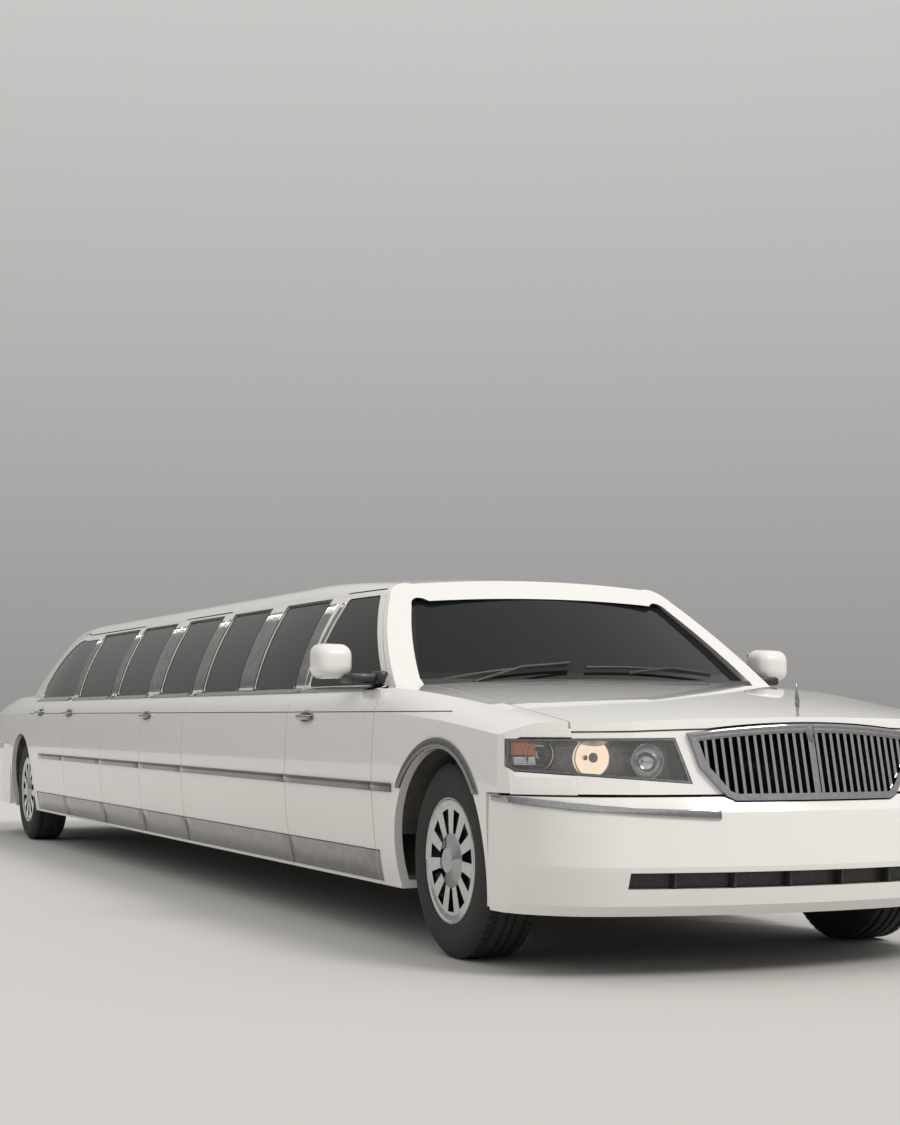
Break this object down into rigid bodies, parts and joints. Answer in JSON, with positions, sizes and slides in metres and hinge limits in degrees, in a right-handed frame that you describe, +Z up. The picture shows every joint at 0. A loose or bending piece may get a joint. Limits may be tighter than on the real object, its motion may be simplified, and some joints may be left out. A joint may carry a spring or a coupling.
{
  "type": "stretch limousine",
  "caption": "Long white saloon with a stretched cabin, opening doors, hood and trunk lid, steering front wheels and a lounge interior behind a partition.",
  "frame": {"origin": "on the ground under the middle of the length and of the width", "axes": "+X forward, +Y to the left side, +Z up"},
  "size_m": [10.0428, 2.195, 1.5029],
  "materials": {
    "body_paint": "glossy white paint",
    "window_glass": "tinted glass",
    "chrome": "polished chrome",
    "lamp_housing": "bright reflector",
    "lamp_lens": "clear lens",
    "tail_lens": "red lens",
    "tyre_rubber": "black rubber",
    "polished_alloy": "polished alloy",
    "frame_steel": "black coating",
    "sheet_steel": "dark undercoat",
    "engine_iron": "cast",
    "bright_steel": "plain steel",
    "radiator_black": "black fins",
    "dash_trim": "soft trim",
    "black_trim": "black trim",
    "seat_leather": "dark leather",
    "dark_wood": "polished wood"
  },
  "bodies": {
    "chassis": {"roof": "body_paint", "side_panels": "body_paint", "quarter_panels": "body_paint", "rear_deck": "body_paint", "fenders": "body_paint", "header_panel": "body_paint", "front_bumper": "body_paint", "rear_bumper": "body_paint", "side_glass": "window_glass", "windshield": "window_glass", "rear_window": "window_glass", "grille": "chrome", "headlamps": "lamp_housing", "headlamp_lenses": "lamp_lens", "tail_lamps": "tail_lens", "frame": "frame_steel", "front_suspension": "frame_steel", "rear_axle": "frame_steel", "driveshaft": "frame_steel", "floor_pan": "sheet_steel", "front_structure": "sheet_steel", "engine_block": "engine_iron", "exhaust": "bright_steel", "fuel_tank": "bright_steel", "radiator": "radiator_black", "dashboard": "dash_trim", "partition": "dash_trim", "steering_wheel": "black_trim", "front_seats": "seat_leather", "lounge_seats": "seat_leather", "bar_cabinet": "dark_wood"},
    "front_door_right": {"front_door_right": "body_paint", "front_window_right": "window_glass", "mirror_right": "body_paint"},
    "front_door_left": {"front_door_left": "body_paint", "front_window_left": "window_glass", "mirror_left": "body_paint"},
    "fifth_door_right": {"fifth_door_right": "body_paint", "fifth_window_right": "window_glass"},
    "club_door_right": {"club_door_right": "body_paint", "club_window_right": "window_glass"},
    "rear_door_right": {"rear_door_right": "body_paint", "rear_window_right": "window_glass"},
    "rear_door_left": {"rear_door_left": "body_paint", "rear_window_left": "window_glass"},
    "hood": {"hood": "body_paint"},
    "trunk_lid": {"trunk_lid": "body_paint"},
    "steering_right": {"steering_knuckle_right": "frame_steel"},
    "front_wheel_right": {"front_tyre_right": "tyre_rubber", "front_rim_right": "polished_alloy"},
    "rear_wheel_right": {"rear_tyre_right": "tyre_rubber", "rear_rim_right": "polished_alloy"},
    "steering_left": {"steering_knuckle_left": "frame_steel"},
    "front_wheel_left": {"front_tyre_left": "tyre_rubber", "front_rim_left": "polished_alloy"},
    "rear_wheel_left": {"rear_tyre_left": "tyre_rubber", "rear_rim_left": "polished_alloy"}
  },
  "joints": [
    {"name": "front_door_right_hinge", "type": "hinge", "parent": "chassis", "child": "front_door_right", "pos_m": [3.4215, -0.983, 0.6], "axis": [0, 0, 1], "range_deg": [0, 65]},
    {"name": "front_door_left_hinge", "type": "hinge", "parent": "chassis", "child": "front_door_left", "pos_m": [3.4215, 0.983, 0.6], "axis": [0, 0, -1], "range_deg": [0, 65]},
    {"name": "fifth_door_right_hinge", "type": "hinge", "parent": "chassis", "child": "fifth_door_right", "pos_m": [0.6865, -0.983, 0.6], "axis": [0, 0, 1], "range_deg": [0, 65]},
    {"name": "club_door_right_hinge", "type": "hinge", "parent": "chassis", "child": "club_door_right", "pos_m": [-1.1135, -0.983, 0.6], "axis": [0, 0, 1], "range_deg": [0, 65]},
    {"name": "rear_door_right_hinge", "type": "hinge", "parent": "chassis", "child": "rear_door_right", "pos_m": [-2.1435, -0.983, 0.6], "axis": [0, 0, 1], "range_deg": [0, 65]},
    {"name": "rear_door_left_hinge", "type": "hinge", "parent": "chassis", "child": "rear_door_left", "pos_m": [-2.1435, 0.983, 0.6], "axis": [0, 0, -1], "range_deg": [0, 65]},
    {"name": "hood_hinge", "type": "hinge", "parent": "chassis", "child": "hood", "pos_m": [3.3315, 0, 0.99], "axis": [0, -1, 0], "range_deg": [0, 50]},
    {"name": "trunk_lid_hinge", "type": "hinge", "parent": "chassis", "child": "trunk_lid", "pos_m": [-3.9405, 0, 1.08], "axis": [0, 1, 0], "range_deg": [0, 70]},
    {"name": "steering_right", "type": "hinge", "parent": "chassis", "child": "steering_right", "pos_m": [4.0215, -0.76, 0.351], "axis": [0, 0, 1], "range_deg": [-35, 35]},
    {"name": "front_wheel_right_spin", "type": "hinge", "parent": "steering_right", "child": "front_wheel_right", "pos_m": [4.0215, -0.805, 0.351], "axis": [0, 1, 0], "continuous": true},
    {"name": "rear_wheel_right_spin", "type": "hinge", "parent": "chassis", "child": "rear_wheel_right", "pos_m": [-3.5405, -0.82, 0.351], "axis": [0, 1, 0], "continuous": true},
    {"name": "steering_left", "type": "hinge", "parent": "chassis", "child": "steering_left", "pos_m": [4.0215, 0.76, 0.351], "axis": [0, 0, 1], "range_deg": [-35, 35]},
    {"name": "front_wheel_left_spin", "type": "hinge", "parent": "steering_left", "child": "front_wheel_left", "pos_m": [4.0215, 0.805, 0.351], "axis": [0, 1, 0], "continuous": true},
    {"name": "rear_wheel_left_spin", "type": "hinge", "parent": "chassis", "child": "rear_wheel_left", "pos_m": [-3.5405, 0.82, 0.351], "axis": [0, 1, 0], "continuous": true}
  ],
  "couplings": [
    {"joint": "steering_left", "follows": "steering_right", "ratio": 1}
  ]
}
